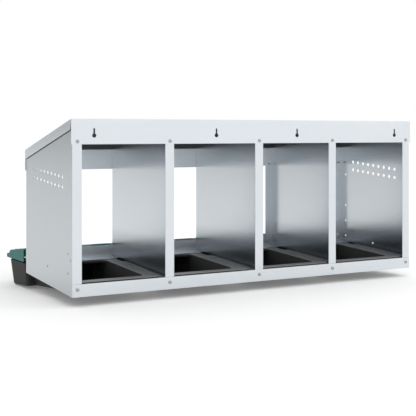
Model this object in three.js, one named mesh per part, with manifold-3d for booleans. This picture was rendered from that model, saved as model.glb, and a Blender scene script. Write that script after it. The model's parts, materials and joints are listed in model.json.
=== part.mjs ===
// Roll-away nesting box with four nests, made of bent sheet metal with slide-out plastic
// nest trays. Each tray is a sloping bowl that runs out, under the front lip, into an egg
// trough with a hinged lid. Millimetres, +Z up, +X along the row of nests. The back, which
// is open and hangs on a wall by keyholes, faces -Y; the hens' windows and the egg troughs
// face +Y. The origin is the centre of the bottom of the bounding box.
import * as THREE from 'three';
import { mergeVertices } from 'three/addons/utils/BufferGeometryUtils.js';
import Module from 'manifold-3d';

const wasm = await Module();
wasm.setup();

// ---------------------------------------------------------------- driving dimensions
// The housing is laid out from the lower left corner of its back face: x to the right,
// y into the box from the back face, z up from the bottom of the back face.
const LENGTH = 1060;            // row of four nests, over the side panels
const DEPTH = 322;              // back face to front face of the housing
const BACK_HEIGHT = 430;        // roof edge at the back
const FRONT_HEIGHT = 350;       // roof edge at the front
const SHEET = 1;                // thickness of every sheet-metal piece
const GAP = 0.3;                // air between pieces that lie against each other
const PITCH = LENGTH / 4;       // the four trays stand side by side at this spacing

const FLANGE = 25;              // width of the bent edges of the upright panels
const DIVIDERS = [              // x of each web, and the side its upright flanges turn to
  { x: 252.5, turn: 1 },
  { x: 522.7, turn: 1 },
  { x: 790.6, turn: -1 },
];
const PANEL_FRONT_BOTTOM = 22;  // side panels' lower edge rises to this at the front
const FRONT_FLANGE_BOTTOM = 57; // front flanges start above the way of the trays
const FRONT_FLANGE_TOP = 308;

const TOP_STRIP = 62;           // back edge of the roof sheet, bent down, with the keyholes
const ROOF_SIDE_DROP = 25;      // side edges of the roof sheet, bent down
const ROOF_SIDE_GAP = 2;        // the side edges hang this far outside the side panels
const ROOF_RELIEF = 6;          // open corner between the side edge and the back strip
const FASCIA_BOTTOM = 295;      // front edge of the roof sheet, bent down to here
const KEYHOLES_X = [57, 402, 658, 1003];
const KEYHOLE_Z = 389.5;        // centre of the round hole
const KEYHOLE_RADIUS = 5.5;
const KEYHOLE_SLOT = 4.6;       // width of the slot above it
const KEYHOLE_TOP = 407.5;

const BACK_RAIL = 31;           // height of the rail along the bottom of the open back
const BACK_RAIL_SHELF = 22;
const LIP_TOP = 82.5;           // sill of the hens' windows
const LIP_SHELF = 50;           // shelf over the egg passage, bent in from the lip

const SCREWS_X = [13.5, 265.5, 535.5, 779, 1046.5];
const BACK_SCREWS_Z = [18, 375];
const FRONT_SCREWS_Z = [63, 301];
const SCREW_RADIUS = 2;
const SCREW_HOLE = 2.5;
const SCREW_HEAD_RADIUS = 4.6;
const SCREW_HEAD_HEIGHT = 1.9;
const SCREW_LENGTH = 9;

const VENT = { radius: 4.8, pitch: 24.6, columns: 9, y: 64, z: 262.4, rise: 0.085 };
const SMALL_HOLE_RADIUS = 2.6;
const SMALL_HOLES = [           // [y, z] of the spare fixing holes in each side panel
  [28, 242], [28, 151], [28, 103], [28, 55], [12, 87.5],
  [298, 263], [298, 166], [298, 117], [298, 69], [164, 57],
];

const RIM_SLOPE = 0.0542;       // the tray rims and their rails rise toward the front
const RIM = { x0: 3, x1: 243, y0: 8, y1: 300, z: 34.5, thick: 3, corner: 15 };
const BOWL = { x0: 12, x1: 210, y0: 30, y1: 272, corner: 18, draftX: 18, draftY: 13 };
const TRAY_WALL = 2.5;
const FLOOR_Z = 3.3;            // underside of the bowl at its back edge
const FLOOR_Y = 35;
const FLOOR_SLOPE = -0.068;     // the floor falls toward the trough, so the eggs roll out
const TROUGH = { x0: 0.6, x1: 264.4, y0: 326, y1: 454, y1Bottom: 436, top: 45, draft: 3 };
const TROUGH_CORNER = 10;

const HINGE = { y: 336, z: 78, radius: 2.5, clearance: 0.5 };
const EAR = { x: 7, width: 6, radius: 5, clearance: 1.5 };
const LID = { wall: 2.4, x0: 1, x1: 264, back: 328.5, backTop: 82.3, frontTop: 70, bottom: 46.5 };
const LID_LIP = { y: 482, top: 58, chamfer: 3 };
const KNUCKLE = { x: 15, width: 50, radius: 7.5 };

const STEEL = { color: 0xc9d0d3, roughness: 0.38, metalness: 0.75 };
const BLACK_PLASTIC = { color: 0x2b2c2d, roughness: 0.5, metalness: 0 };
const GREEN_PLASTIC = { color: 0x2c7d6c, roughness: 0.55, metalness: 0 };
const SCREW_STEEL = { color: 0xb9bec0, roughness: 0.3, metalness: 0.9 };

// ---------------------------------------------------------------- solids
function toSolid(geometry) {
  const bare = geometry.index ? geometry.toNonIndexed() : geometry.clone();
  bare.deleteAttribute('normal');
  bare.deleteAttribute('uv');
  const merged = mergeVertices(bare, 1e-4);
  return new wasm.Manifold(new wasm.Mesh({
    numProp: 3,
    vertProperties: new Float32Array(merged.attributes.position.array),
    triVerts: new Uint32Array(merged.index.array),
  }));
}

function toGeometry(solid) {
  const mesh = solid.getMesh();
  const geometry = new THREE.BufferGeometry();
  geometry.setAttribute('position', new THREE.BufferAttribute(mesh.vertProperties, 3));
  geometry.setIndex(new THREE.BufferAttribute(mesh.triVerts, 1));
  return geometry;
}

function join(solids) {
  return solids.reduce((sum, solid) => sum.add(solid));
}

function cut(solid, tools) {
  return tools.reduce((rest, tool) => rest.subtract(tool), solid);
}

function box(x0, x1, y0, y1, z0, z1) {
  const geometry = new THREE.BoxGeometry(x1 - x0, y1 - y0, z1 - z0);
  geometry.translate((x0 + x1) / 2, (y0 + y1) / 2, (z0 + z1) / 2);
  return toSolid(geometry);
}

// A prism along x from an outline of [y, z] points.
function prismAlongX(outline, x0, x1) {
  const shape = new THREE.Shape(outline.map(([y, z]) => new THREE.Vector2(y, z)));
  const geometry = new THREE.ExtrudeGeometry(shape, { depth: x1 - x0, bevelEnabled: false });
  geometry.applyMatrix4(new THREE.Matrix4().set(0, 0, 1, x0, 1, 0, 0, 0, 0, 1, 0, 0, 0, 0, 0, 1));
  return toSolid(geometry);
}

// A cylinder along the named axis, centred on [x, y, z].
function rod(axis, [x, y, z], radius, length, sides = 12) {
  const geometry = new THREE.CylinderGeometry(radius, radius, length, sides);
  if (axis === 'x') geometry.rotateZ(Math.PI / 2);
  if (axis === 'z') geometry.rotateX(Math.PI / 2);
  geometry.translate(x, y, z);
  return toSolid(geometry);
}

function roundedRectangle(x0, x1, y0, y1, r) {
  const shape = new THREE.Shape();
  shape.moveTo(x0 + r, y0);
  shape.lineTo(x1 - r, y0);
  shape.absarc(x1 - r, y0 + r, r, -Math.PI / 2, 0, false);
  shape.lineTo(x1, y1 - r);
  shape.absarc(x1 - r, y1 - r, r, 0, Math.PI / 2, false);
  shape.lineTo(x0 + r, y1);
  shape.absarc(x0 + r, y1 - r, r, Math.PI / 2, Math.PI, false);
  shape.lineTo(x0, y0 + r);
  shape.absarc(x0 + r, y0 + r, r, Math.PI, Math.PI * 1.5, false);
  return shape;
}

// A plate or tub with a rounded plan. place(x, y, t) gives the point for each plan point,
// with t = 0 at the bottom and 1 at the top, so walls can lean and floors can slope.
function shapedPrism(plan, place, curveSegments = 4) {
  const geometry = new THREE.ExtrudeGeometry(plan, { depth: 1, bevelEnabled: false, curveSegments });
  const points = geometry.attributes.position;
  for (let i = 0; i < points.count; i += 1) {
    points.setXYZ(i, ...place(points.getX(i), points.getY(i), points.getZ(i)));
  }
  return toSolid(geometry);
}

const lerp = THREE.MathUtils.lerp;
const rimZ = (y) => RIM.z + RIM_SLOPE * (y - RIM.y0);
const floorZ = (y) => FLOOR_Z + FLOOR_SLOPE * (y - FLOOR_Y);
const roofZ = (y) => BACK_HEIGHT + (FRONT_HEIGHT - BACK_HEIGHT) * y / DEPTH;

// ---------------------------------------------------------------- sheet-metal housing
const BACK_FLANGE_Y = SHEET + GAP;                  // upright flanges behind the back rail
const FRONT_FLANGE_Y = DEPTH - 2 * SHEET - GAP;     // and behind the fascia and the lip
const WEB_TOP_GAP = SHEET + GAP * 2;

function screwHoles(zs, y) {
  return SCREWS_X.flatMap((x) => zs.map((z) => rod('y', [x, y, z], SCREW_HOLE, 8)));
}

// Upright panel: a web in the y-z plane at x with a back and a front flange turned to
// one side. bottom(y) is the height of its lower edge.
function uprightPanel(x, turn, bottom) {
  const inner = BACK_FLANGE_Y;
  const outer = FRONT_FLANGE_Y + SHEET;
  const web = prismAlongX([
    [inner, bottom(inner)],
    [outer, bottom(outer)],
    [outer, roofZ(outer) - WEB_TOP_GAP],
    [inner, roofZ(inner) - WEB_TOP_GAP],
  ], x, x + SHEET);
  const x0 = turn > 0 ? x : x + SHEET - FLANGE;
  const x1 = x0 + FLANGE;
  const flangeTop = roofZ(inner + SHEET) - WEB_TOP_GAP;
  const backFlange = box(x0, x1, inner, inner + SHEET, 0, flangeTop);
  const frontFlange = box(x0, x1, FRONT_FLANGE_Y, outer, FRONT_FLANGE_BOTTOM, FRONT_FLANGE_TOP);
  const holes = [...screwHoles(BACK_SCREWS_Z, inner), ...screwHoles(FRONT_SCREWS_Z, outer)];
  return { web, flanges: [backFlange, frontFlange], holes };
}

function sidePanel(x, turn) {
  const slope = PANEL_FRONT_BOTTOM / DEPTH;
  const { web, flanges, holes } = uprightPanel(x, turn, (y) => slope * y);
  const middle = x + SHEET / 2;
  const vents = [];
  for (let row = 0; row < 2; row += 1) {
    for (let column = 0; column < VENT.columns; column += 1) {
      const y = VENT.y + VENT.pitch * column;
      const z = VENT.z + VENT.pitch * row + VENT.rise * (y - VENT.y);
      vents.push(rod('x', [middle, y, z], VENT.radius, 6));
    }
  }
  const small = SMALL_HOLES.map(([y, z]) => rod('x', [middle, y, z], SMALL_HOLE_RADIUS, 6, 8));
  return cut(join([web, ...flanges]), [...holes, ...vents, ...small]);
}

// A divider ends at the height of the tray rims. Its lower edge is bent to the left under
// the wide rim of one tray, and a short tab near the front is bent to the right under the
// narrow rim of the next.
const SHELF_Z = RIM.z - RIM.thick - 0.5;            // top of everything the rims run on
const shelfZ = (y) => SHELF_Z + RIM_SLOPE * (y - RIM.y0);
const SHELF_Y0 = 26;
const SHELF_TAB = { y0: 250, y1: 312, width: 13, gap: 4 };

function slopedShelf(x0, x1, y0, y1, top) {
  return prismAlongX([
    [y0, top(y0) - SHEET], [y1, top(y1) - SHEET], [y1, top(y1)], [y0, top(y0)],
  ], x0, x1);
}

function divider({ x, turn }) {
  const { web, flanges, holes } = uprightPanel(x, turn, (y) => shelfZ(y) - SHEET);
  const shelf = slopedShelf(x + SHEET - FLANGE, x + SHEET, SHELF_Y0, SHELF_TAB.y0 - SHELF_TAB.gap, shelfZ);
  const tab = slopedShelf(x, x + SHELF_TAB.width, SHELF_TAB.y0, SHELF_TAB.y1, shelfZ);
  return cut(join([web, ...flanges, shelf, tab]), holes);
}

// Angle along the inside of a side panel that carries the outer rim of the end tray.
const SIDE_RAIL = { y0: 26, y1: 312, leg: 12, leftWidth: 7.5, rightWidth: FLANGE };

function sideRail(x, turn, width) {
  const faceX = turn > 0 ? x + SHEET + GAP : x - GAP - SHEET;
  const x0 = turn > 0 ? faceX : faceX + SHEET - width;
  const { y0, y1, leg } = SIDE_RAIL;
  const shelf = slopedShelf(x0, x0 + width, y0, y1, shelfZ);
  const upright = prismAlongX([
    [y0, shelfZ(y0) - leg], [y1, shelfZ(y1) - leg], [y1, shelfZ(y1)], [y0, shelfZ(y0)],
  ], faceX, faceX + SHEET);
  return shelf.add(upright);
}

function keyhole(x) {
  const shape = new THREE.Shape();
  const half = KEYHOLE_SLOT / 2;
  const side = Math.acos(half / KEYHOLE_RADIUS);
  shape.absarc(x, KEYHOLE_Z, KEYHOLE_RADIUS, side, Math.PI - side, true);
  shape.lineTo(x - half, KEYHOLE_TOP - half);
  shape.absarc(x, KEYHOLE_TOP - half, half, Math.PI, 0, true);
  const depth = 4 * SHEET;
  const geometry = new THREE.ExtrudeGeometry(shape, { depth, bevelEnabled: false, curveSegments: 12 });
  geometry.rotateX(Math.PI / 2);
  geometry.translate(0, depth - SHEET, 0);
  return toSolid(geometry);
}

function roofPanel() {
  const side = -SHEET - ROOF_SIDE_GAP;
  const band = (drop, relief) => [
    [relief, roofZ(relief) - drop], [DEPTH, roofZ(DEPTH) - drop], [DEPTH, roofZ(DEPTH)], [0, roofZ(0)],
  ];
  const far = LENGTH - side;
  const sheet = prismAlongX(band(SHEET, 0), side, far);
  const edge = band(ROOF_SIDE_DROP, ROOF_RELIEF);
  const leftEdge = prismAlongX(edge, side, side + SHEET);
  const rightEdge = prismAlongX(edge, far - SHEET, far);
  const strip = box(side, far, 0, SHEET, BACK_HEIGHT - TOP_STRIP, BACK_HEIGHT - SHEET / 2);
  const fascia = box(side, far, DEPTH - SHEET, DEPTH, FASCIA_BOTTOM, FRONT_HEIGHT - SHEET / 2);
  const holes = [...screwHoles([BACK_SCREWS_Z[1]], 0), ...screwHoles([FRONT_SCREWS_Z[1]], DEPTH)];
  return cut(join([sheet, leftEdge, rightEdge, strip, fascia]), [...holes, ...KEYHOLES_X.map(keyhole)]);
}

// The rail along the open back: an upright strip with a shelf bent in at its top, notched
// where the upright flanges pass.
function backRail() {
  const strip = box(0, LENGTH, 0, SHEET, 0, BACK_RAIL);
  const shelf = box(0, LENGTH, 0, BACK_RAIL_SHELF, BACK_RAIL - SHEET, BACK_RAIL);
  const room = 1;
  const notch = (x, turn) => {
    const x0 = turn > 0 ? x : x + SHEET - FLANGE;
    return box(x0 - room, x0 + FLANGE + room, SHEET, BACK_RAIL_SHELF + room, 0, BACK_RAIL + room);
  };
  const notches = [notch(0, 1), notch(LENGTH - SHEET, -1), ...DIVIDERS.map(({ x, turn }) => notch(x, turn))];
  return cut(strip.add(shelf), [...notches, ...screwHoles([BACK_SCREWS_Z[0]], 0)]);
}

// The lip under the windows: an upright strip, and a shelf that slopes with the tray rims
// just above them, cut into four lengths with round corners between the webs.
const LIP_SHELF_CLEARANCE = 0.8;
const LIP_CORNER = 12;

function lipRail() {
  const shelfTop = (y) => rimZ(y) + LIP_SHELF_CLEARANCE + SHEET;
  const strip = box(0, LENGTH, DEPTH - SHEET, DEPTH, shelfTop(DEPTH) - SHEET, LIP_TOP);
  const webs = [0, ...DIVIDERS.map(({ x }) => x), LENGTH - SHEET];
  const margin = 1.5;
  const shelves = webs.slice(1).map((right, i) => {
    const plan = roundedRectangle(
      webs[i] + SHEET + margin, right - margin, DEPTH - LIP_SHELF, DEPTH + LIP_CORNER, LIP_CORNER);
    const plate = shapedPrism(plan, (x, y, t) => [x, y, shelfTop(y) - SHEET + SHEET * t]);
    return plate.intersect(box(0, LENGTH, 0, DEPTH, 0, BACK_HEIGHT));
  });
  return cut(join([strip, ...shelves]), screwHoles([FRONT_SCREWS_Z[0]], DEPTH));
}

// ---------------------------------------------------------------- trays, lids and pins
// A leaning tub between the sloping rim plane and the sloping floor, grown by `grow`.
function tub(grow, top, floor, y1) {
  const plan = roundedRectangle(BOWL.x0 - grow, BOWL.x1 + grow, BOWL.y0 - grow, y1, BOWL.corner);
  const centreX = (BOWL.x0 + BOWL.x1) / 2;
  const halfX = centreX - BOWL.x0 + grow;
  return shapedPrism(plan, (x, y, t) => {
    const lean = (1 - t) * BOWL.draftX * (x - centreX) / halfX;
    const leanBack = (1 - t) * BOWL.draftY * Math.max(0, 1 - (y - BOWL.y0 + grow) / BOWL.corner);
    const placedY = y + leanBack;
    return [x - lean, placedY, lerp(floor(placedY), top(placedY), t)];
  });
}

// The egg trough, wider than the bowl, with a front wall that leans out.
function troughTub(grow, top, floor) {
  const plan = roundedRectangle(
    TROUGH.x0 - grow, TROUGH.x1 + grow, TROUGH.y0 - grow, TROUGH.y1 + grow, TROUGH_CORNER + grow);
  const centreX = (TROUGH.x0 + TROUGH.x1) / 2;
  const halfX = centreX - TROUGH.x0 + grow;
  const leanY = TROUGH.y1 - TROUGH.y1Bottom;
  return shapedPrism(plan, (x, y, t) => {
    const lean = (1 - t) * TROUGH.draft * (x - centreX) / halfX;
    const along = (y - TROUGH.y0 + grow) / (TROUGH.y1 - TROUGH.y0 + 2 * grow);
    const placedY = y - (1 - t) * leanY * along;
    return [x - lean, placedY, lerp(floor(placedY), top, t)];
  });
}

const EGG_PASSAGE_TOP = 44;
const EARS_X = [EAR.x, PITCH - EAR.x - EAR.width];
const EAR_FOOT = 20;            // the ears reach this far down the trough's back wall
const FAR = 100;                // cutters reach well past what they cut

function nestTray() {
  const wall = TRAY_WALL;
  const above = 5;
  const past = 10;
  const neckEnd = TROUGH.y0 + wall;
  const rimPlan = roundedRectangle(RIM.x0, RIM.x1, RIM.y0, RIM.y1, RIM.corner);
  const rim = shapedPrism(rimPlan, (x, y, t) => [x, y, rimZ(y) - RIM.thick * (1 - t)]);
  const bowl = tub(wall, (y) => rimZ(y) - RIM.thick / 2, floorZ, neckEnd + BOWL.corner)
    .intersect(box(0, PITCH, 0, neckEnd, -FAR, FAR));
  const trough = troughTub(0, TROUGH.top, floorZ);
  const ears = EARS_X.map((x) => join([
    rod('x', [x + EAR.width / 2, HINGE.y, HINGE.z], EAR.radius, EAR.width),
    box(x, x + EAR.width, HINGE.y - EAR.radius, HINGE.y + EAR.radius, TROUGH.top - EAR_FOOT, HINGE.z),
    box(x, x + EAR.width, TROUGH.y0 + wall / 2, HINGE.y, TROUGH.top - EAR_FOOT, TROUGH.top),
  ]));
  const body = join([rim, bowl, trough, ...ears]);

  const inside = (y) => floorZ(y) + wall;
  const opening = tub(0, (y) => rimZ(y) + above, inside, BOWL.y1 + BOWL.corner)
    .intersect(box(0, PITCH, 0, BOWL.y1, -FAR, FAR));
  const passage = tub(0, (y) => rimZ(y) - RIM.thick, inside, neckEnd + past + BOWL.corner)
    .intersect(box(0, PITCH, 0, neckEnd + past, -FAR, EGG_PASSAGE_TOP));
  const throat = tub(0, (y) => rimZ(y) + above, inside, neckEnd + past + BOWL.corner)
    .intersect(box(0, PITCH, RIM.y1, neckEnd + past, -FAR, FAR));
  const troughInside = troughTub(-wall, TROUGH.top + above, inside);
  const earRoom = EARS_X.map((x) =>
    box(x, x + EAR.width, TROUGH.y0 - 1, HINGE.y + EAR.radius, TROUGH.top - EAR_FOOT, HINGE.z + past));
  const hollow = cut(troughInside, earRoom);
  const pinHoles = rod('x', [PITCH / 2, HINGE.y, HINGE.z], HINGE.radius + 0.3, PITCH);
  return cut(body, [opening, passage, throat, hollow, pinHoles]);
}

// The lid is a hollow cap: a top that slopes to the front, a lip to lift it by, and end
// skirts. Two knuckles at its back edge turn on the hinge rod, and slots clear the ears.
function eggLid() {
  const { back, backTop, frontTop, bottom, wall } = LID;
  const { y: lipY, top: lipTop, chamfer } = LID_LIP;
  const slopeEnd = lipY - 38;
  const frontWall = TROUGH.y1 + 1;
  const low = bottom - HINGE.y;
  const outer = [
    [back, backTop - 22], [back + 16, bottom], [lipY - chamfer, bottom], [lipY, bottom + chamfer],
    [lipY, lipTop - chamfer], [lipY - chamfer, lipTop], [lipY - 14, lipTop + 1],
    [lipY - 22, frontTop - 5], [lipY - 30, frontTop - 1], [slopeEnd, frontTop], [back, backTop],
  ];
  const inner = [
    [back - 5, low], [frontWall, low], [frontWall, bottom + 9],
    [slopeEnd, frontTop - wall], [back - 5, backTop - wall + 0.6],
  ];
  const cap = prismAlongX(outer, LID.x0, LID.x1);
  const hollow = prismAlongX(inner, LID.x0 + wall, LID.x1 - wall);
  const knuckles = [KNUCKLE.x, PITCH - KNUCKLE.x - KNUCKLE.width].map((x) => join([
    rod('x', [x + KNUCKLE.width / 2, HINGE.y, HINGE.z], KNUCKLE.radius, KNUCKLE.width),
    box(x, x + KNUCKLE.width, HINGE.y, HINGE.y + KNUCKLE.radius + 4, HINGE.z, backTop - wall),
  ]));
  const bore = rod('x', [PITCH / 2, HINGE.y, HINGE.z], HINGE.radius + HINGE.clearance, PITCH);
  const reach = EAR.radius + 2 * EAR.clearance;
  const earSlots = EARS_X.map((x) =>
    box(x - EAR.clearance, x + EAR.width + EAR.clearance, back - 5, HINGE.y + reach, bottom, FAR));
  return cut(join([cut(cap, [hollow]), ...knuckles]), [bore, ...earSlots]);
}

function hingeRod() {
  const length = PITCH - 2 * EAR.x;
  return rod('x', [PITCH / 2, HINGE.y, HINGE.z], HINGE.radius, length);
}

// A pan-head screw along y; its head faces -y and rests against y = 0.
function screw() {
  const profile = [
    [0, -SCREW_LENGTH], [SCREW_RADIUS, -SCREW_LENGTH], [SCREW_RADIUS, 0], [SCREW_HEAD_RADIUS, 0],
    [SCREW_HEAD_RADIUS * 0.93, SCREW_HEAD_HEIGHT * 0.6], [SCREW_HEAD_RADIUS * 0.6, SCREW_HEAD_HEIGHT],
    [0, SCREW_HEAD_HEIGHT],
  ].map(([r, z]) => new THREE.Vector2(r, z));
  const geometry = new THREE.LatheGeometry(profile, 10);
  geometry.rotateX(Math.PI);
  return toGeometry(toSolid(geometry));
}

// ---------------------------------------------------------------- assembly
const TRAY_BOTTOM = floorZ(TROUGH.y1Bottom);
const BACK_OUT = SCREW_HEAD_HEIGHT + GAP;           // screw heads stand proud of the back

const unit = new THREE.Group();
unit.position.set(-LENGTH / 2, -(LID_LIP.y - BACK_OUT) / 2, -TRAY_BOTTOM);
const nestingBox = new THREE.Group();
nestingBox.add(unit);

function addMesh(name, geometry, finish, parent = unit) {
  const mesh = new THREE.Mesh(geometry, new THREE.MeshStandardMaterial(finish));
  mesh.name = name;
  parent.add(mesh);
  return mesh;
}

addMesh('side_panel_left', toGeometry(sidePanel(0, 1)), STEEL);
addMesh('side_panel_right', toGeometry(sidePanel(LENGTH - SHEET, -1)), STEEL);
DIVIDERS.forEach((spec, i) => addMesh(`divider_${i + 1}`, toGeometry(divider(spec)), STEEL));
addMesh('roof_panel', toGeometry(roofPanel()), STEEL);
addMesh('back_bottom_rail', toGeometry(backRail()), STEEL);
addMesh('window_lip_rail', toGeometry(lipRail()), STEEL);
addMesh('tray_rail_left', toGeometry(sideRail(0, 1, SIDE_RAIL.leftWidth)), STEEL);
const rightRail = sideRail(LENGTH - SHEET, -1, SIDE_RAIL.rightWidth);
addMesh('tray_rail_right', toGeometry(rightRail), STEEL);

const trayGeometry = toGeometry(nestTray());
const lidGeometry = toGeometry(eggLid());
const rodGeometry = toGeometry(hingeRod());
for (let i = 0; i < 4; i += 1) {
  const nest = new THREE.Group();
  nest.position.x = PITCH * i;
  unit.add(nest);
  addMesh(`nest_tray_${i + 1}`, trayGeometry, BLACK_PLASTIC, nest);
  addMesh(`egg_lid_${i + 1}`, lidGeometry, GREEN_PLASTIC, nest);
  addMesh(`lid_hinge_rod_${i + 1}`, rodGeometry, SCREW_STEEL, nest);
}

const screwGeometry = screw();
SCREWS_X.forEach((x, i) => {
  [['back_low', BACK_SCREWS_Z[0]], ['back_high', BACK_SCREWS_Z[1]]].forEach(([row, z]) => {
    const mesh = addMesh(`screw_${row}_${i + 1}`, screwGeometry, SCREW_STEEL);
    mesh.position.set(x, -GAP, z);
  });
  [['front_low', FRONT_SCREWS_Z[0]], ['front_high', FRONT_SCREWS_Z[1]]].forEach(([row, z]) => {
    const mesh = addMesh(`screw_${row}_${i + 1}`, screwGeometry, SCREW_STEEL);
    mesh.position.set(x, DEPTH + GAP, z);
    mesh.rotation.z = Math.PI;
  });
});

export default nestingBox;
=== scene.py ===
import json
import math

import bmesh
import bpy
from mathutils import Matrix, Vector
from mathutils.geometry import intersect_line_line


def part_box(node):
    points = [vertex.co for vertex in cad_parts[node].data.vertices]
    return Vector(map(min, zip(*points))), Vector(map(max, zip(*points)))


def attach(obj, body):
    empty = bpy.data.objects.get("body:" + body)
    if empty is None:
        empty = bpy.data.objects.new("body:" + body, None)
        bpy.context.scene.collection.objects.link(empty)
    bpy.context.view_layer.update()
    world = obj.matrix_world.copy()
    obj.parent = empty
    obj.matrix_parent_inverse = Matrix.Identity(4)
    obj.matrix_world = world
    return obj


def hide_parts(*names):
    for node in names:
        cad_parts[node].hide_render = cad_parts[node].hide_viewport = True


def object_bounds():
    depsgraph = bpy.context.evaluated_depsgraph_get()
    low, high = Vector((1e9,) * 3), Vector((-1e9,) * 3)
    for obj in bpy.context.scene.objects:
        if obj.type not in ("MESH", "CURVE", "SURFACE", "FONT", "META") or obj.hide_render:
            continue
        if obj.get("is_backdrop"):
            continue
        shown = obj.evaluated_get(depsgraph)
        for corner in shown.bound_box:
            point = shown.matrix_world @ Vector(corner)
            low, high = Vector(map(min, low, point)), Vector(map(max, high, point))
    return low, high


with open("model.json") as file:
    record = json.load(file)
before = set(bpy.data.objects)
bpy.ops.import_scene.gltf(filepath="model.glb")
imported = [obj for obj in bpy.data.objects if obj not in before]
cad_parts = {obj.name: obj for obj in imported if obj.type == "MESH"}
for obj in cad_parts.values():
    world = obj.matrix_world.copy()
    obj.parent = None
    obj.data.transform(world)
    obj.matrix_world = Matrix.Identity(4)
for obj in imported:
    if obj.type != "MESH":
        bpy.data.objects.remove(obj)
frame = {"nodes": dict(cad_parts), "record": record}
cad_low, cad_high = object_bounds()
nodes = frame["nodes"]
record = frame["record"]
MM = 0.001


# ---------------------------------------------------------------- camera and light
def look(location, forward, lens, shift_y):
    data = bpy.data.cameras.new("camera")
    camera = bpy.data.objects.new("camera", data)
    bpy.context.scene.collection.objects.link(camera)
    data.lens = lens
    data.sensor_width = 36
    data.shift_y = shift_y
    data.clip_start = 0.05
    data.clip_end = 50
    camera.location = location
    camera.rotation_euler = Vector(forward).to_track_quat("-Z", "Y").to_euler()
    bpy.context.scene.camera = camera


# The viewer stands off the back, to its left, with the eye a little under the roof edge.
back_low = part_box("back_bottom_rail")[0]
corner = Vector((back_low.x, back_low.y, back_low.z))
VIEW_YAW = math.radians(30.25)
look(
    location=corner + Vector((-0.916, -2.216, 0.395)),
    forward=(math.sin(VIEW_YAW), math.cos(VIEW_YAW), 0),
    lens=85.8,
    shift_y=-0.180,
)


def area_light(name, location, target, size, power, colour=(1, 1, 1)):
    data = bpy.data.lights.new(name, "AREA")
    data.shape = "RECTANGLE"
    data.size, data.size_y = size
    data.energy = power
    data.color = colour
    lamp = bpy.data.objects.new(name, data)
    bpy.context.scene.collection.objects.link(lamp)
    lamp.location = location
    lamp.rotation_euler = (Vector(target) - Vector(location)).to_track_quat("-Z", "Y").to_euler()
    return lamp


def studio():
    """A white studio with a grey wall to the left of the troughs and a bright one behind the viewer."""
    world = bpy.data.worlds.new("studio")
    bpy.context.scene.world = world
    world.use_nodes = True
    tree = world.node_tree
    background = tree.nodes["Background"]
    where = tree.nodes.new("ShaderNodeTexCoord")

    def wall(direction, start, end, value):
        """A tone that goes from 1 to the value as the view turns toward the direction."""
        toward = tree.nodes.new("ShaderNodeVectorMath")
        toward.operation = "DOT_PRODUCT"
        toward.inputs[1].default_value = direction
        tree.links.new(where.outputs["Generated"], toward.inputs[0])
        fade = tree.nodes.new("ShaderNodeMapRange")
        fade.interpolation_type = "SMOOTHSTEP"
        fade.inputs["From Min"].default_value = start
        fade.inputs["From Max"].default_value = end
        fade.inputs["To Min"].default_value = 1.0
        fade.inputs["To Max"].default_value = value
        tree.links.new(toward.outputs["Value"], fade.inputs["Value"])
        return fade.outputs["Result"]

    grey = wall(direction=(-0.85, 0.52, 0.0), start=0.30, end=0.82, value=0.45)
    bright = wall(direction=(0.50, -0.86, 0.0), start=0.20, end=0.90, value=1.22)
    both = tree.nodes.new("ShaderNodeMath")
    both.operation = "MULTIPLY"
    tree.links.new(grey, both.inputs[0])
    tree.links.new(bright, both.inputs[1])
    tree.links.new(both.outputs["Value"], background.inputs["Strength"])
    background.inputs["Color"].default_value = (1.0, 1.0, 1.0, 1)
    area_light("key", (-0.3, -3.0, 2.4), (0, 0, 0.2), (2.2, 1.6), 9)
    area_light("fill", (2.6, -1.8, 1.6), (0, 0, 0.2), (1.6, 1.6), 4)
    bpy.context.scene.view_settings.view_transform = "Standard"


def floor():
    """A plain pale floor, just under the lowest piece, that glows a little so that it stays near white."""
    drop = 0.0005
    bpy.ops.mesh.primitive_plane_add(size=60, location=(0, 0, cad_low.z - drop))
    ground = bpy.context.object
    ground.name = "floor"
    material = bpy.data.materials.new("floor")
    material.use_nodes = True
    shader = material.node_tree.nodes["Principled BSDF"]
    shader.inputs["Base Color"].default_value = (0.94, 0.94, 0.94, 1)
    shader.inputs["Roughness"].default_value = 0.9
    shader.inputs["Emission Color"].default_value = (1.0, 1.0, 1.0, 1)
    shader.inputs["Emission Strength"].default_value = 0.15
    ground.data.materials.append(material)
    ground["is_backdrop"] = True


studio()
floor()


# ---------------------------------------------------------------- materials
HOUSING_DEPTH = 0.322
ROOF_OVERHANG = 0.003
FRONT_Y = back_low.y + HOUSING_DEPTH    # the outside of the windowed front
SIDE_X = cad_high.x - ROOF_OVERHANG     # the outside of the side panels
RIM_END = back_low.y + 0.302            # just past the tray rims, before the hinge ears
RIM_SLOPE = 0.0542                      # the tray rims rise toward the troughs
RIM_HEIGHT = 0.0710                     # world height of the rim plane over the world's X axis


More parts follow.
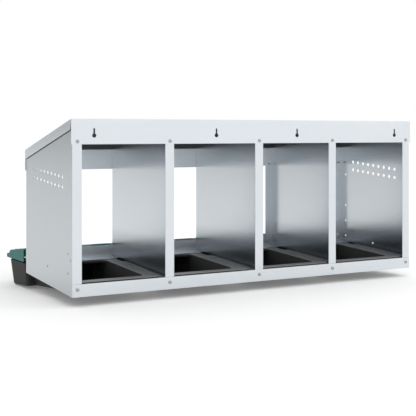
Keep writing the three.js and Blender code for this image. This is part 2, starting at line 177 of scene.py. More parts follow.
class Finish:
    """A node material, with short helpers for the nodes that the finishes share."""

    def __init__(self, name):
        self.material = bpy.data.materials.new(name)
        self.material.use_nodes = True
        self.tree = self.material.node_tree
        self.shader = self.tree.nodes["Principled BSDF"]
        self.place = self.tree.nodes.new("ShaderNodeTexCoord").outputs["Object"]
        self.height = None

    def link(self, output, socket):
        self.tree.links.new(output, socket)

    def set(self, **values):
        for name, value in values.items():
            self.shader.inputs[name.replace("_", " ")].default_value = value

    def stretch(self, scale):
        node = self.tree.nodes.new("ShaderNodeMapping")
        node.inputs["Scale"].default_value = scale
        self.link(self.place, node.inputs["Vector"])
        return node.outputs["Vector"]

    def noise(self, scale, detail=3.0, stretch=(1, 1, 1), roughness=0.55):
        node = self.tree.nodes.new("ShaderNodeTexNoise")
        node.inputs["Scale"].default_value = scale
        node.inputs["Detail"].default_value = detail
        node.inputs["Roughness"].default_value = roughness
        self.link(self.stretch(stretch), node.inputs["Vector"])
        return node.outputs["Fac"]

    def cells(self, scale, output="Color", stretch=(1, 1, 1)):
        node = self.tree.nodes.new("ShaderNodeTexVoronoi")
        node.inputs["Scale"].default_value = scale
        self.link(self.stretch(stretch), node.inputs["Vector"])
        return node.outputs[output]

    def level(self, value, low, high, to_low, to_high):
        node = self.tree.nodes.new("ShaderNodeMapRange")
        ends = {"From Min": low, "From Max": high, "To Min": to_low, "To Max": to_high}
        for name, number in ends.items():
            node.inputs[name].default_value = number
        self.link(value, node.inputs["Value"])
        return node.outputs["Result"]

    def combine(self, a, b, operation="ADD"):
        node = self.tree.nodes.new("ShaderNodeMath")
        node.operation = operation
        for socket, value in zip(node.inputs, (a, b)):
            if isinstance(value, (int, float)):
                socket.default_value = value
            else:
                self.link(value, socket)
        return node.outputs["Value"]

    def times(self, a, b):
        return self.combine(a, b, "MULTIPLY")

    def blend(self, factor, colour_a, colour_b):
        node = self.tree.nodes.new("ShaderNodeMix")
        node.data_type = "RGBA"
        self.link(factor, node.inputs["Factor"])
        for socket, colour in ((node.inputs[6], colour_a), (node.inputs[7], colour_b)):
            if isinstance(colour, tuple):
                socket.default_value = (*colour, 1)
            else:
                self.link(colour, socket)
        return node.outputs[2]

    def bump(self, value, distance, strength=1.0):
        node = self.tree.nodes.new("ShaderNodeBump")
        node.inputs["Distance"].default_value = distance
        node.inputs["Strength"].default_value = strength
        self.link(value, node.inputs["Height"])
        if self.height is not None:
            self.link(self.height, node.inputs["Normal"])
        self.height = node.outputs["Normal"]
        self.link(self.height, self.shader.inputs["Normal"])

    def facing(self, axis):
        """How far the surface faces along a world axis, from -1 to 1, for pieces that never turn."""
        split = self.tree.nodes.new("ShaderNodeSeparateXYZ")
        self.link(self.tree.nodes.new("ShaderNodeNewGeometry").outputs["Normal"], split.inputs["Vector"])
        return split.outputs[axis]

    def at(self, axis):
        """The place along an axis, in metres."""
        split = self.tree.nodes.new("ShaderNodeSeparateXYZ")
        self.link(self.place, split.inputs["Vector"])
        return split.outputs[axis]

    def colour(self, output):
        self.link(output, self.shader.inputs["Base Color"])

    def rough(self, output):
        self.link(output, self.shader.inputs["Roughness"])


def galvanised_sheet():
    """Skin-passed zinc on steel: pale and softly mirroring, rougher on the faces turned down; painted
    shade darkens those faces and the side panels' outside, and a painted reflection of the black trays
    darkens the sheets low inside the nests.
    """
    pale_zinc, grey_zinc = (0.655, 0.692, 0.722), (0.625, 0.662, 0.692)
    side_shade_zinc, under_shade_zinc, tray_reflection_zinc = (0.30, 0.325, 0.34), (0.05, 0.06, 0.078), (0.10, 0.115, 0.14)
    skin = (SIDE_X - 0.0007, SIDE_X - 0.0003)       # between the two faces of a side panel
    roof_edge = (SIDE_X + 0.0008, SIDE_X + 0.0012)  # between a side panel and the roof's side edge
    back_fold = (back_low.y + 0.0015, back_low.y + 0.004)
    front_fold = (FRONT_Y - 0.001, FRONT_Y)
    tray_reflection_heights = (0.085, 0.165)
    finish = Finish("galvanised_sheet")
    finish.set(Metallic=0.94, Specular_IOR_Level=0.5)
    cloud = finish.noise(3.0, detail=2.0)
    spangle = finish.level(finish.cells(150.0, "Distance"), 0.0, 0.8, 0.0, 1.0)
    tone = finish.combine(finish.level(cloud, 0.3, 0.7, 0.0, 0.8), finish.times(spangle, 0.2))
    plain = finish.blend(tone, pale_zinc, grey_zinc)
    # Painted shade: faces turned down are painted near-black, as if in shadow.
    under = finish.level(finish.facing("Z"), -0.95, -0.75, 1.0, 0.0)
    across = finish.combine(finish.at("X"), 0.0, "ABSOLUTE")
    turned = finish.combine(finish.facing("X"), 0.0, "ABSOLUTE")
    sideways = finish.level(turned, 0.6, 0.9, 0.0, 1.0)
    # Painted shade on the outside faces of the side panels, stopping short of the roof's side edge.
    outer = finish.times(finish.level(across, *skin, 0.0, 0.42), sideways)
    outer = finish.times(outer, finish.level(across, *roof_edge, 1.0, 0.0))
    # The plain zinc with its painted shade.
    shaded_zinc = finish.blend(under, finish.blend(outer, plain, side_shade_zinc), under_shade_zinc)
    # Inside the nests, painted shade and a painted reflection of the black trays darken the upright
    # sheets, most near the tray rims.
    inside = finish.level(finish.at("Y"), *back_fold, 0.0, 1.0)
    inside = finish.times(inside, finish.level(finish.at("Y"), *front_fold, 1.0, 0.0))
    inside = finish.times(inside, finish.level(across, *skin, 1.0, 0.0))
    inside = finish.times(inside, sideways)
    ragged = finish.combine(finish.at("Z"), finish.times(cloud, 0.02))
    low = finish.level(ragged, *tray_reflection_heights, 0.72, 0.0)
    finish.colour(finish.blend(finish.times(inside, low), shaded_zinc, tray_reflection_zinc))
    lines = finish.noise(9.0, detail=2.0, stretch=(36, 36, 0.4))
    wear_and_sheen = finish.noise(28.0, detail=5.0)
    roughness = finish.combine(
        finish.level(lines, 0.3, 0.7, 0.248, 0.254), finish.level(wear_and_sheen, 0.4, 0.75, 0.0, 0.012))
    finish.rough(finish.combine(roughness, finish.level(under, 0.0, 1.0, 0.0, 0.30)))
    finish.bump(finish.noise(4.0, detail=1.0), 0.0006, 0.05)
    return finish.material


def bright_zinc():
    """Zinc-plated screws: a slight yellow-blue drift and fine turning marks."""
    finish = Finish("bright_zinc")
    finish.set(Metallic=1.0)
    drift = finish.noise(160.0, detail=2.0)
    finish.colour(finish.blend(drift, (0.46, 0.48, 0.50), (0.36, 0.37, 0.37)))
    finish.rough(finish.level(finish.noise(900.0, detail=3.0), 0.3, 0.7, 0.22, 0.38))
    finish.bump(finish.noise(1500.0, detail=2.0), 0.00002, 0.5)
    return finish.material


def black_moulded():
    """Black polypropylene with a fine spark-eroded grain and scuffs, and a painted grey sheen along the
    top of the rim.
    """
    finish = Finish("black_moulded")
    finish.set(Specular_IOR_Level=0.42)
    scuff = finish.level(finish.noise(38.0, detail=6.0, roughness=0.7), 0.52, 0.74, 0.0, 1.0)
    plain = finish.blend(scuff, (0.012, 0.012, 0.013), (0.026, 0.027, 0.027))
    # Painted sheen: the top of the rim, up to the nest's end, is painted light grey where the glossy black
    # would mirror the bright surroundings; the band is also made glossier.
    above_axis = finish.combine(finish.times(finish.at("Y"), -RIM_SLOPE), finish.at("Z"))
    rim_sheen = finish.level(above_axis, RIM_HEIGHT - 0.0025, RIM_HEIGHT - 0.0005, 0.0, 1.0)
    nest_end = finish.level(finish.at("Y"), RIM_END, RIM_END + 0.002, 1.0, 0.0)
    rim_sheen = finish.times(rim_sheen, nest_end)
    wear_and_sheen = finish.blend(scuff, (0.185, 0.19, 0.19), (0.23, 0.235, 0.23))
    finish.colour(finish.blend(rim_sheen, plain, wear_and_sheen))
    grain = finish.cells(1400.0, "Distance")
    fine = finish.combine(
        finish.level(grain, 0.0, 0.7, 0.34, 0.46), finish.level(scuff, 0.0, 1.0, 0.0, 0.12))
    finish.rough(finish.combine(fine, finish.level(rim_sheen, 0.0, 1.0, 0.20, 0.0)))
    finish.bump(grain, 0.00004, 0.6)
    return finish.material


def green_moulded():
    """Green polypropylene with a fine hammered grain, a little paler on the crests."""
    finish = Finish("green_moulded")
    finish.set(Specular_IOR_Level=0.32)
    dents = finish.cells(260.0, "Distance")
    tone = finish.combine(
        finish.level(dents, 0.0, 0.75, 0.0, 0.6), finish.level(finish.noise(30.0), 0.35, 0.7, 0.0, 0.3))
    finish.colour(finish.blend(tone, (0.014, 0.172, 0.150), (0.010, 0.130, 0.114)))
    finish.rough(finish.level(finish.noise(220.0, detail=4.0), 0.3, 0.7, 0.44, 0.54))
    finish.bump(dents, 0.0002, 0.25)
    finish.bump(finish.noise(900.0, detail=2.0), 0.00004, 0.4)
    return finish.material


finishes = {
    "sheet_metal": galvanised_sheet(),
    "screw_steel": bright_zinc(),
    "black_plastic": black_moulded(),
    "green_plastic": green_moulded(),
}
SLOTS = {part["node"]: part["material_slot"] for part in record["subparts"]}
BODY_OF = {node: body for body, names in record["behaviour"]["bodies"].items() for node in names}
SHEET_NODES = [node for node, slot in SLOTS.items() if slot == "sheet_metal"]


# ---------------------------------------------------------------- mesh helpers
def new_object(name, bm):
    bmesh.ops.recalc_face_normals(bm, faces=bm.faces)
    mesh = bpy.data.meshes.new(name)
    bm.to_mesh(mesh)
    bm.free()
    obj = bpy.data.objects.new(name, mesh)
    bpy.context.scene.collection.objects.link(obj)
    return obj


def discard(obj):
    mesh = obj.data
    bpy.data.objects.remove(obj)
    bpy.data.meshes.remove(mesh)


def applied(obj, *leftovers):
    """The object's mesh with its modifiers applied; the object and the leftovers are deleted."""
    bpy.context.view_layer.update()
    evaluated = obj.evaluated_get(bpy.context.evaluated_depsgraph_get())
    mesh = bpy.data.meshes.new_from_object(evaluated)
    for old in (obj, *leftovers):
        discard(old)
    return mesh


def combined(base, *steps):
    """The base object after boolean steps, each a pair of an operation and an object."""
    for operation, tool in steps:
        modifier = base.modifiers.new(operation, "BOOLEAN")
        modifier.operation = operation
        modifier.solver = "MANIFOLD"
        modifier.object = tool
    mesh = applied(base, *(tool for _, tool in steps))
    obj = bpy.data.objects.new(mesh.name, mesh)
    bpy.context.scene.collection.objects.link(obj)
    return obj


def loft(name, rings):
    """A closed solid through rings of equally many points."""
    bm = bmesh.new()
    loops = [[bm.verts.new(point) for point in ring] for ring in rings]
    for first, second in zip(loops, loops[1:]):
        for i, vertex in enumerate(first):
            j = (i + 1) % len(first)
            bm.faces.new((vertex, first[j], second[j], second[i]))
    bm.faces.new(tuple(reversed(loops[0])))
    bm.faces.new(loops[-1])
    return new_object(name, bm)


def cylinder(name, centre, axis, radius, length, sides=32):
    """A rod centred on a point, along a vector."""
    turn = Vector(axis).to_track_quat("Z", "Y").to_matrix()
    ends = (-length / 2, length / 2)
    return loft(name, [
        [
            Vector(centre) + turn @ Vector((
                radius * math.cos(math.tau * k / sides), radius * math.sin(math.tau * k / sides), end))
            for k in range(sides)
        ]
        for end in ends
    ])


def smooth(mesh, angle):
    """Smooth shading with creases at the angle, and flat faces kept flat."""
    mesh.shade_smooth()
    mesh.set_sharp_from_angle(angle=math.radians(angle))
    obj = bpy.data.objects.new(mesh.name, mesh)
    bpy.context.scene.collection.objects.link(obj)
    weighted = obj.modifiers.new("flat_faces", "WEIGHTED_NORMAL")
    weighted.keep_sharp = True
    return applied(obj)


def stand_for(node, mesh, body, offset=(0, 0, 0)):
    """A visible piece, made from the mesh, in place of a CAD node."""
    slot = SLOTS[node]
    mesh.transform(Matrix.Translation(offset))
    mesh.name = f"{node}_skin"
    mesh.materials.clear()
    mesh.materials.append(finishes[slot])
    piece = bpy.data.objects.new(f"{node}_skin", mesh)
    bpy.context.scene.collection.objects.link(piece)
    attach(piece, body)
    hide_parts(node)
    return piece


# ---------------------------------------------------------------- bent sheet metal
SHEET = 1.0 * MM
OUTER_BEND = 0.8 * MM       # outside radius of a fold
INNER_BEND = 0.35 * MM
EASED = 0.12 * MM           # cut edges are a little rounded
SHARP = math.radians(40)    # every fold and cut edge turns by more than this
FLAT = math.radians(0.4)    # faces that turn by less than this are one flat face
WELD = 1e-6                 # vertices closer than this are one
TOUCH = 0.01 * MM           # a corner this near a cut's end takes the cut
SLACK = 0.05 * MM           # spread allowed in a thickness or a hole's radius
NARROW = 5 * SHEET          # flat faces narrower than this are split at their inner corners
FEWEST_FACETS = 8           # of a round hole
HOLE_SIDES = 32
ARC_STEPS = 12              # of a half circle
LARGEST_HOLE = 15 * MM
# Millimetres: radius of the round hole, width of the slot, and heights above the back rail's foot.
KEYHOLE = dict(radius=5.5, slot=4.6, z=389.5, top=407.5)


def flat_faced(mesh):
    """The mesh with its triangles joined into whole flat faces."""
    bm = bmesh.new()
    bm.from_mesh(mesh)
    bmesh.ops.remove_doubles(bm, verts=bm.verts, dist=WELD)
    bmesh.ops.dissolve_limit(bm, angle_limit=FLAT, verts=bm.verts, edges=bm.edges)
    return bm


def narrow_cut(face):
    """The shortest way across a flat face on from one of its inner corners, if it is narrow there."""
    best = None
    for loop in face.loops:
        here = loop.vert.co
        along = [(here - near.vert.co).normalized() for near in (loop.link_loop_prev, loop.link_loop_next)]
        if loop.is_convex or along[0].cross(along[1]).length < 0.1:
            continue
        for direction in along:
            for edge in face.edges:
                if loop.vert in edge.verts:
                    continue
                a, b = (vertex.co for vertex in edge.verts)
                crossing = intersect_line_line(here, here + direction, a, b)
                if crossing is None or (crossing[0] - crossing[1]).length > TOUCH:
                    continue
                reach = (crossing[0] - here).dot(direction)
                share = (crossing[1] - a).dot(b - a) / (b - a).length_squared
                inside = -0.001 < share < 1.001 and 0 < reach < NARROW
                if inside and (best is None or reach < best[0]):
                    best = (reach, loop.vert, edge, crossing[1])
    return best


def split_at_corners(bm):
    """Split flat faces where they narrow at an inner corner, so that a fold edge ends with its fold."""
    queue = list(bm.faces)
    while queue:
        face = queue.pop()
        best = narrow_cut(face)
        if best is None:
            continue
        _, corner, edge, place = best
        end = min(edge.verts, key=lambda vertex: (vertex.co - place).length)
        if (end.co - place).length > TOUCH:
            share = (place - edge.verts[0].co).length / edge.calc_length()
            end = bmesh.utils.edge_split(edge, edge.verts[0], share)[1]
        queue += [face, bmesh.utils.face_split(face, corner, end)[0]]


def is_cut_face(face):
    """Whether a face is the thickness of the sheet, told by its mean width."""
    around = sum(edge.calc_length() for edge in face.edges)
    return 2 * face.calc_area() / around < 1.25 * SHEET


def plug_holes(bm):
    """Close every small hole, and give the centre, axis and radius of the round ones."""
    def lines_hole(edge):
        thick = abs(edge.calc_length() - SHEET) < SLACK
        return thick and len(edge.link_faces) == 2 and all(is_cut_face(face) for face in edge.link_faces)

    rest = {edge for edge in bm.edges if lines_hole(edge)}
    round_ones, facets = [], set()
    while rest:
        ring = [rest.pop()]
        for edge in ring:
            for face in edge.link_faces:
                near = [other for other in face.edges if other in rest]
                ring.extend(near)
                rest.difference_update(near)
        points = [vertex.co for edge in ring for vertex in edge.verts]
        centre = sum(points, Vector()) / len(points)
        if max((point - centre).length for point in points) > LARGEST_HOLE or len(ring) < FEWEST_FACETS:
            continue
        facets.update(face for edge in ring for face in edge.link_faces)
        axis = (ring[0].verts[1].co - ring[0].verts[0].co).normalized()
        reach = [(point - centre - axis * axis.dot(point - centre)).length for point in points]
        if max(reach) - min(reach) < SLACK:
            round_ones.append((centre, axis, max(reach)))
    bmesh.ops.delete(bm, geom=list(facets), context="FACES")
    bmesh.ops.edgeloop_fill(bm, edges=[edge for edge in bm.edges if edge.is_boundary])
    bmesh.ops.recalc_face_normals(bm, faces=bm.faces)
    return round_ones


def drill(holes):
    """One cutter for all the round holes."""
    bm = bmesh.new()
    for centre, axis, radius in holes:
        turn = axis.to_track_quat("Z", "Y").to_matrix().to_4x4()
        bmesh.ops.create_cone(
            bm, cap_ends=True, segments=HOLE_SIDES, radius1=radius, radius2=radius,
            depth=6 * MM, matrix=Matrix.Translation(centre) @ turn)
    return new_object("drill", bm)


def keyhole(x):
    """Cutter for a keyhole in the roof's back strip: a round hole with a slot above it."""
    half = KEYHOLE["slot"] / 2
    side = math.degrees(math.acos(half / KEYHOLE["radius"]))
    outline = []
    for k in range(HOLE_SIDES + 1):
        a = math.radians(180 - side + (180 + 2 * side) * k / HOLE_SIDES)
        outline.append((KEYHOLE["radius"] * math.cos(a), KEYHOLE["z"] + KEYHOLE["radius"] * math.sin(a)))
    for k in range(ARC_STEPS + 1):
        a = math.pi * k / ARC_STEPS
        outline.append((half * math.cos(a), KEYHOLE["top"] - half + half * math.sin(a)))
    return loft("keyhole", [
        [Vector((x, back_low.y + y * MM, back_low.z)) + Vector((u, 0, v)) * MM for u, v in outline]
        for y in (-2, 3)
    ])


def weigh_folds(bm):
    """Full bevel weight outside a fold and less inside it; cut edges get none."""
    layer = bm.edges.layers.float.new("bevel_weight_edge")
    cut = {face: is_cut_face(face) for face in bm.faces}
    for edge in bm.edges:
        if len(edge.link_faces) != 2 or any(cut[face] for face in edge.link_faces):
            continue
        bend = edge.calc_face_angle_signed()
        if abs(bend) > SHARP:
            edge[layer] = 1.0 if bend > 0 else INNER_BEND / OUTER_BEND


def well_shaped(mesh):
    """The mesh with its many-sided faces cut into even triangles, so that they shade evenly."""
    bm = bmesh.new()
    bm.from_mesh(mesh)
    bmesh.ops.dissolve_degenerate(bm, dist=WELD, edges=bm.edges)
    wide = [face for face in bm.faces if len(face.verts) > 4]
    bmesh.ops.triangulate(bm, faces=wide, ngon_method="BEAUTY")
    bm.to_mesh(mesh)
    bm.free()
    return mesh


def sheet_mesh(node):
    """The node's sheet with rolled folds, eased edges and round holes."""
    bm = flat_faced(nodes[node].data)
    holes = plug_holes(bm)
    bmesh.ops.dissolve_limit(bm, angle_limit=FLAT, verts=bm.verts, edges=bm.edges)
    split_at_corners(bm)
    weigh_folds(bm)
    plate = new_object(node, bm)
    folds = plate.modifiers.new("folds", "BEVEL")
    folds.width = OUTER_BEND
    folds.segments = 4
    folds.limit_method = "WEIGHT"
    folds.use_clamp_overlap = False
    eased = plate.modifiers.new("eased", "BEVEL")
    eased.width = EASED
    eased.segments = 2
    eased.limit_method = "ANGLE"
    eased.angle_limit = SHARP
    eased.use_clamp_overlap = True
    cutters = [("DIFFERENCE", drill(holes))] if holes else []
    if node == "roof_panel":
        openings = record["physics"]["openings"]
        boxes = [spot["box_m"] for spot in openings if spot["name"].startswith("keyhole")]
        cutters += [("DIFFERENCE", keyhole((low[0] + high[0]) / 2)) for low, high in boxes]
    plate = combined(plate, *cutters)
    return smooth(well_shaped(plate.data), 28)


for node in SHEET_NODES:
    stand_for(node, sheet_mesh(node), "housing")


# ---------------------------------------------------------------- moulded trays
# Millimetres, from the back face, the nest's left edge and the bottom of the back rail.
RIM = dict(x0=3, x1=243, y0=8, y1=300, z=34.5, corner=15, thick=3)
BOWL = dict(x0=12, x1=210, y0=30, y1=272, corner=18, draft_x=18, draft_y=13)
TROUGH = dict(x0=0.6, x1=264.4, y0=326, y1=454, y1_bottom=436, top=45, draft=3, corner=10)
FLOOR = dict(y=35, z=3.3, fall=0.068)       # the tray's underside falls toward the trough
WALL = 2.5
PASSAGE_TOP = 44            # eggs roll out below this height
NECK_END = TROUGH["y0"] + WALL
PITCH = 265
HINGE_Y, HINGE_Z, PIN_RADIUS = 336, 78, 2.5
EAR_STARTS = (7, PITCH - 13)
EAR_WIDTH, EAR_RADIUS = 6, 5
HIGH = 30                   # cutters reach this far past what they cut


def rim_z(y):
    return RIM["z"] + RIM_SLOPE * (y - RIM["y0"])


def floor_z(y):
    return FLOOR["z"] - FLOOR["fall"] * (y - FLOOR["y"])


def plan(x0, x1, y0, y1, corner, steps=8):
    """Points round a rectangle with round corners."""
    centres = (
        (x1 - corner, y0 + corner, -90), (x1 - corner, y1 - corner, 0),
        (x0 + corner, y1 - corner, 90), (x0 + corner, y0 + corner, 180),
    )
    points = []
    for x, y, start in centres:
        for k in range(steps + 1):
            angle = math.radians(start + 90 * k / steps)
            points.append((x + corner * math.cos(angle), y + corner * math.sin(angle)))
    return points


def fillet(radius, steps=5):
    """Inset and rise of each step of a quarter round that starts level and ends upright."""
    angles = [math.pi / 2 * k / steps for k in range(steps + 1)]
    return [(radius * (1 - math.sin(a)), radius * (1 - math.cos(a))) for a in angles]


def rim_plate():
    radius = 1.2
    lower = [(inset, rise) for inset, rise in fillet(radius, 3)]
    upper = [(inset, RIM["thick"] - rise) for inset, rise in reversed(lower)]
    rings = []
    for inset, rise in lower + upper:
        outline = plan(
            RIM["x0"] + inset, RIM["x1"] - inset, RIM["y0"] + inset, RIM["y1"] - inset,
            RIM["corner"] - inset)
        rings.append([Vector((x, y, rim_z(y) - RIM["thick"] + rise)) * MM for x, y in outline])
    return loft("rim", rings)


def bowl_ring(out, base, share, rise, top, y1):
    """A ring of the bowl, pushed out by `out`; share is 0 at the floor and 1 at the top."""
    middle = (BOWL["x0"] + BOWL["x1"]) / 2
    half = middle - BOWL["x0"] + out
    lean = 1 - share
    ring = []
    for x, y in plan(BOWL["x0"] - out, BOWL["x1"] + out, BOWL["y0"] - out, y1 + out, BOWL["corner"]):
        y += lean * BOWL["draft_y"] * max(0, 1 - (y - BOWL["y0"] + out) / BOWL["corner"])
        bottom = floor_z(y) + base
        z = bottom + share * (top(y) - bottom) + rise
        ring.append(Vector((x - lean * BOWL["draft_x"] * (x - middle) / half, y, z)) * MM)
    return ring


def bowl_solid(name, out, base, top, y1, radius, share=1):
    """The bowl's solid or one of its hollows, up to a share of its depth, with a rounded foot."""
    rings = [bowl_ring(out - inset, base, 0, rise, top, y1) for inset, rise in fillet(radius)]
    rings.append(bowl_ring(out, base, share, 0, top, y1))
    return loft(name, rings)


def bowl_mouth():
    """Cutter that opens the bowl through the rim and rounds the rim's edge."""
    radius, touch, depth = 2, 0.05, 44
    inset_start, share_start = 3, 0.7       # the cutter's foot hangs inside the bowl's hollow
    rings = [bowl_ring(-inset_start, WALL, share_start, 0, rim_z, BOWL["y1"])]
    for inset, rise in fillet(radius):
        rings.append(bowl_ring(touch + rise, WALL, 1 - inset / depth, 0, rim_z, BOWL["y1"]))
    rings.append(bowl_ring(touch + radius, WALL, 1, HIGH, rim_z, BOWL["y1"]))
    return loft("mouth", rings)


def trough_ring(out, share, rise, base=0):
    """A ring of the egg trough, whose walls lean out from the floor to the top."""
    x0, x1, y0, y1 = (TROUGH[key] for key in ("x0", "x1", "y0", "y1"))
    middle, half, length = (x0 + x1) / 2, (x1 - x0) / 2 + out, y1 - y0 + 2 * out
    lean = 1 - share
    ring = []
    for x, y in plan(x0 - out, x1 + out, y0 - out, y1 + out, TROUGH["corner"] + out):
        y -= lean * (y1 - TROUGH["y1_bottom"]) * (y - y0 + out) / length
        bottom = floor_z(y) + base
        z = bottom + share * (TROUGH["top"] - bottom) + rise
        ring.append(Vector((x - lean * TROUGH["draft"] * (x - middle) / half, y, z)) * MM)
    return ring


def trough_outside():
    radius, lip = 7, 0.8
    rings = [trough_ring(-inset, 0, rise) for inset, rise in fillet(radius)]
    rings += [trough_ring(-rise, 1, -inset) for inset, rise in fillet(lip, 3)]
    return loft("trough", rings)


def trough_inside():
    radius, lip = 5, 0.8
    floor = WALL - 0.2       # a small step down from the bowl
    rings = [trough_ring(-WALL - inset, 0, rise, floor) for inset, rise in fillet(radius)]
    rings += [trough_ring(-WALL + rise, 1, -inset, floor) for inset, rise in fillet(lip, 3)]
    rings.append(trough_ring(-WALL + lip, 1, HIGH, floor))
    return loft("hollow", rings)


def block(name, x0, x1, outline, ease=0.6):
    """A slab across x with a (y, z) outline, its side edges eased."""
    centre = sum((Vector(point) for point in outline), Vector((0, 0))) / len(outline)
    rings = []
    for x, inset in ((x0, ease), (x0 + ease, 0), (x1 - ease, 0), (x1, ease)):
        ring = []
        for point in outline:
            inward = (centre - Vector(point)).normalized() * inset
            ring.append(Vector((x, point[0] + inward.x, point[1] + inward.y)) * MM)
        rings.append(ring)
    return loft(name, rings)


def ear(x):
    """A hinge ear, standing on the trough's back wall."""
    crown = [
        (HINGE_Y + EAR_RADIUS * math.cos(a), HINGE_Z + EAR_RADIUS * math.sin(a))
        for a in (math.pi * k / ARC_STEPS for k in range(ARC_STEPS + 1))
    ]
    low, shoulder, wall_y = 25, 44.2, TROUGH["y0"] + WALL / 2
    behind, ahead = HINGE_Y - EAR_RADIUS, HINGE_Y + EAR_RADIUS
    foot = [(behind, shoulder), (wall_y, shoulder), (wall_y, low), (ahead, low)]
    return block("ear", x, x + EAR_WIDTH, crown + foot)


def neck_inset(z):
    """How far the passage's side walls have leaned in at a height, where they meet the trough."""
    foot = floor_z(NECK_END) + WALL
    return BOWL["draft_x"] * (1 - (z - foot) / (rim_z(NECK_END) - foot)) + 0.1


def along_x(name, radius, x0, x1):
    """A rod on the hinge axis."""
    centre = Vector(((x0 + x1) / 2, HINGE_Y, HINGE_Z)) * MM
    return cylinder(name, centre, (1, 0, 0), radius * MM, (x1 - x0) * MM)


def throat_ring(z):
    """A ring of the cutter that joins the passage to the trough under the rim."""
    inset = neck_inset(z)
    outline = plan(BOWL["x0"] + inset, BOWL["x1"] - inset, RIM["y1"] + 0.6, NECK_END + 12, 1)
    return [Vector((x, y, z)) * MM for x, y in outline]


def under_rim(y):
    """Height in the middle of the rim's thickness, where the bowl's outside ends."""
    return rim_z(y) - RIM["thick"] / 2


# Known fault: a slanting hole remains through the left side wall of the bowl.
def tray_mesh():
    foot, outer_foot = 6, 8         # radii round the floor, inside and outside
    bowl = bowl_solid("bowl", WALL, 0.15, under_rim, NECK_END + 16, outer_foot)
    hollow = bowl_solid("hollow", 0, WALL, rim_z, BOWL["y1"], foot, share=0.96)
    passage = bowl_solid("passage", 0.05, WALL, rim_z, NECK_END + 18, foot, share=0.88)
    throat = loft("throat", [throat_ring(z) for z in (PASSAGE_TOP - 8, PASSAGE_TOP + HIGH)])
    tray = combined(
        rim_plate(),
        ("UNION", bowl),
        ("UNION", trough_outside()),
        ("DIFFERENCE", trough_inside()),
        ("DIFFERENCE", hollow),
        ("DIFFERENCE", passage),
        ("DIFFERENCE", bowl_mouth()),
        ("DIFFERENCE", throat),
        *(("UNION", ear(x)) for x in EAR_STARTS),
        ("DIFFERENCE", along_x("pin_hole", PIN_RADIUS + 0.3, 0, PITCH)),
    )
    return smooth(well_shaped(tray.data), 38)


# ---------------------------------------------------------------- egg lids
LID = dict(x0=1, x1=264, back=328.5, back_top=82.3, front_top=70, bottom=46.5, wall=2.4)
LID_LIP = dict(y=482, top=58)
KNUCKLES = (15, PITCH - 65)
KNUCKLE_WIDTH, KNUCKLE_RADIUS = 50, 7.5
BARREL = 5.2                # radius of the bar round the hinge rod, along the lid's back edge
STUD = dict(across=14, along=11, radius=5, height=1.5)   # raised studs on the lid, in staggered rows
GRID = 1.6                  # spacing of the lid's surface mesh


def rounded(corners, step):
    """An outline through (y, z, radius) corners, rounded, with points about a step apart."""
    outline = []
    count = len(corners)
    for i, (y, z, radius) in enumerate(corners):
        here = Vector((y, z))
        before = Vector(corners[i - 1][:2]) - here
        after = Vector(corners[(i + 1) % count][:2]) - here
        a, b = before.normalized(), after.normalized()
        half = a.angle(b) / 2
        reach = min(radius / math.tan(half), before.length * 0.45, after.length * 0.45)
        start, end = here + a * reach, here + b * reach
        pieces = max(2, round(reach * 1.6))
        arc = []
        for k in range(pieces + 1):
            t = k / pieces
            arc.append(start * (1 - t) ** 2 + here * 2 * t * (1 - t) + end * t ** 2)
        if outline:
            gap = arc[0] - outline[-1]
            parts = max(1, round(gap.length / step))
            outline += [outline[-1] + gap * k / parts for k in range(1, parts)]
        outline += arc
    gap = outline[0] - outline[-1]
    parts = max(1, round(gap.length / step))
    return outline + [outline[-1] + gap * k / parts for k in range(1, parts)]


def stud_height(x, y):
    """Height of the raised studs at a place on the lid."""
    row = round((y - LID["back"]) / STUD["along"])
    shift = STUD["across"] / 2 * (row % 2)
    column = round((x - shift) / STUD["across"])
    away = math.hypot(x - shift - column * STUD["across"], y - LID["back"] - row * STUD["along"])
    inside = max(0.0, 1 - (away / STUD["radius"]) ** 2)
    edge = min(1.0, max(0.0, (x - LID["x0"] - 6) / 4), max(0.0, (LID["x1"] - 6 - x) / 4))
    return STUD["height"] * min(1.0, inside * 2.2) * edge


def lid_shell():
    """The lid's outside: its section along the row, with studs on the sloping top."""
    bottom, lip_y, lip_top, top = LID["bottom"], LID_LIP["y"], LID_LIP["top"], LID["front_top"]
    barrel = HINGE_Y - BARREL
    outline = rounded([
        (barrel, LID["back_top"] - 22, 3), (barrel + 16, bottom, 5), (TROUGH["y1"] + 4, bottom, 3),
        (lip_y, bottom, 3), (lip_y, lip_top, 3.5), (lip_y - 17, lip_top + 1, 6),
        (lip_y - 27, top - 0.4, 9), (barrel, HINGE_Z + BARREL, 2 * BARREL),
    ], GRID)
    count = len(outline)
    tangents = [(outline[(i + 1) % count] - outline[i - 1]).normalized() for i in range(count)]
    normals = [Vector((t.y, -t.x)) for t in tangents]
    radius = 2.5
    x0, x1 = LID["x0"], LID["x1"]
    start = [(x0 + rise, inset) for inset, rise in fillet(radius, 4)]
    end = [(x0 + x1 - x, inset) for x, inset in reversed(start)]
    steps = round((x1 - x0 - 2 * radius) / GRID)
    between = [(x0 + radius + (x1 - x0 - 2 * radius) * k / steps, 0) for k in range(1, steps)]
    rings = []
    for x, inset in start + between + end:
        ring = []
        for point, normal in zip(outline, normals):
            on_top = normal.y > 0.95 and HINGE_Y + KNUCKLE_RADIUS + 5 < point.x < LID_LIP["y"] - 36
            place = point + normal * ((stud_height(x, point.x) if on_top else 0) - inset)
            ring.append(Vector((x, place.x, place.y)) * MM)
        rings.append(ring)
    return loft("lid", rings)


def prism(name, x0, x1, outline):
    return loft(name, [[Vector((x, y, z)) * MM for y, z in outline] for x in (x0, x1)])


def box_outline(y0, y1, z0, z1):
    return [(y0, z0), (y1, z0), (y1, z1), (y0, z1)]


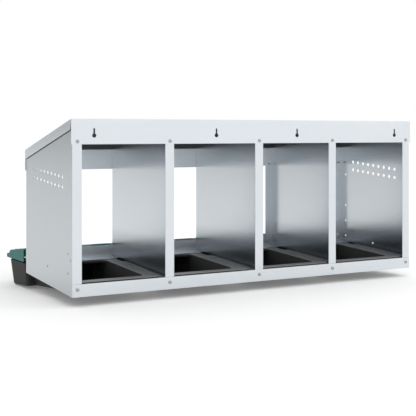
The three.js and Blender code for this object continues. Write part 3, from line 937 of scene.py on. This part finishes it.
def lid_mesh():
    wall, back, bottom = LID["wall"], LID["back"], LID["bottom"]
    front = TROUGH["y1"] + 1
    behind = HINGE_Y + KNUCKLE_RADIUS
    ceiling = HINGE_Z + BARREL - 1.6 - wall
    under = HINGE_Z - BARREL - 0.3
    inside = prism("inside", LID["x0"] + wall, LID["x1"] - wall, rounded([
        (back - 5, bottom - HIGH, 1), (front, bottom - HIGH, 1), (front, bottom + 9, 4),
        (LID_LIP["y"] - 38, LID["front_top"] - wall, 6), (behind, ceiling, 2), (behind, under, 1),
        (back - 5, under, 1),
    ], HIGH))
    steps = []
    for x in KNUCKLES:
        steps.append(("UNION", along_x("knuckle", KNUCKLE_RADIUS, x, x + KNUCKLE_WIDTH)))
    steps.append(("DIFFERENCE", along_x("bore", PIN_RADIUS + 0.5, -1, PITCH + 1)))
    corners = ((-1, EAR_STARTS[0] + EAR_WIDTH + 1.5), (EAR_STARTS[1] - 1.5, PITCH + 1))
    for x0, x1 in corners:
        notch = prism("notch", x0, x1, box_outline(back - 5, behind + 0.5, bottom - 1, 2 * HINGE_Z))
        steps.append(("DIFFERENCE", notch))
    lid = combined(lid_shell(), ("DIFFERENCE", inside), *steps)
    return smooth(lid.data, 40)


# ---------------------------------------------------------------- hinge rods and screws
def rod_mesh():
    start, end, chamfer = EAR_STARTS[0], PITCH - EAR_STARTS[0], 0.6
    rings = []
    for x, radius in ((start, PIN_RADIUS - chamfer), (start + chamfer, PIN_RADIUS),
                      (end - chamfer, PIN_RADIUS), (end, PIN_RADIUS - chamfer)):
        rings.append([
            Vector((x, HINGE_Y + radius * math.cos(a), HINGE_Z + radius * math.sin(a))) * MM
            for a in (math.tau * k / 24 for k in range(24))
        ])
    rod = loft("rod", rings)
    return smooth(rod.data, 30)


# Millimetres, except for the count of sides and the turn in degrees.
SCREW_SIDES = 24
HEAD_RADIUS, HEAD_HEIGHT = 4.6, 1.9
SHANK_RADIUS, SHANK_LENGTH, THREAD = 2.0, 9.0, 0.8
SCREW_TURN = 37             # from one screw's recess to the next


def screw_ring(z, radius):
    """A ring round the screw, whose radius is a function of the angle."""
    angles = [math.tau * k / SCREW_SIDES for k in range(SCREW_SIDES)]
    return [Vector((radius(a) * math.cos(a), radius(a) * math.sin(a), z)) * MM for a in angles]


def threaded(z):
    """The shank's radius round a height, as a function of the angle."""
    def radius(angle):
        phase = (z / THREAD - angle / math.tau) % 1
        taper = min(1.0, 0.55 + (z + SHANK_LENGTH) / 4)
        return taper * (SHANK_RADIUS - 0.5 * abs(2 * phase - 1))
    return radius


def even(radius):
    return lambda angle: radius


def screw_mesh():
    """A pan-head tapping screw with a cross recess, its head up and the head's underside at z = 0."""
    turns, per_turn, dome_steps = 10, 5, 6
    rings = []
    for k in range(turns * per_turn):
        z = -SHANK_LENGTH + THREAD * k / per_turn
        rings.append(screw_ring(z, threaded(z)))
    rings.append(screw_ring(-0.5, even(SHANK_RADIUS - 0.1)))
    rings.append(screw_ring(0, even(SHANK_RADIUS)))
    rings.append(screw_ring(0, even(HEAD_RADIUS - 0.15)))
    flat, skirt = 2.2, 0.45
    for k in range(dome_steps + 1):
        a = math.pi / 2 * k / dome_steps
        radius = flat + (HEAD_RADIUS - flat) * math.cos(a)
        rings.append(screw_ring(skirt + (HEAD_HEIGHT - skirt) * math.sin(a), even(radius)))
    long, half = 2.5, 0.55
    cross = [
        (long, half), (half, half), (half, long), (-half, long), (-half, half), (-long, half),
        (-long, -half), (-half, -half), (-half, -long), (half, -long), (half, -half), (long, -half),
    ]
    recess = loft("recess", [
        [Vector((x * size, y * size, z)) * MM for x, y in cross]
        for z, size in ((HEAD_HEIGHT - 1.3, 0.5), (HEAD_HEIGHT + 0.2, 1.0))
    ])
    screw = combined(loft("screw", rings), ("DIFFERENCE", recess))
    return smooth(screw.data, 35)


nest_left = [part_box(f"nest_tray_{n}")[0].x - TROUGH["x0"] * MM for n in range(1, 5)]
tray, lid, rod = tray_mesh(), lid_mesh(), rod_mesh()
for n, left in enumerate(nest_left, start=1):
    offset = (left, back_low.y, back_low.z)
    stand_for(f"nest_tray_{n}", tray.copy(), f"tray_{n}", offset)
    stand_for(f"egg_lid_{n}", lid.copy(), f"lid_{n}", offset)
    stand_for(f"lid_hinge_rod_{n}", rod.copy(), BODY_OF[f"lid_hinge_rod_{n}"], offset)

screw = screw_mesh()
for index, node in enumerate(sorted(name for name in nodes if name.startswith("screw_"))):
    low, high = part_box(node)
    outward = -1 if "_back_" in node else 1
    face = low.y if outward < 0 else high.y
    roll = Matrix.Rotation(math.radians(SCREW_TURN * index), 4, "Z")
    stand = Matrix.Rotation(math.radians(-90 * outward), 4, "X")
    mesh = screw.copy()
    mesh.transform(stand @ roll)
    seat = ((low.x + high.x) / 2, face - outward * HEAD_HEIGHT * MM, (low.z + high.z) / 2)
    stand_for(node, mesh, "housing", seat)

low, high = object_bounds()
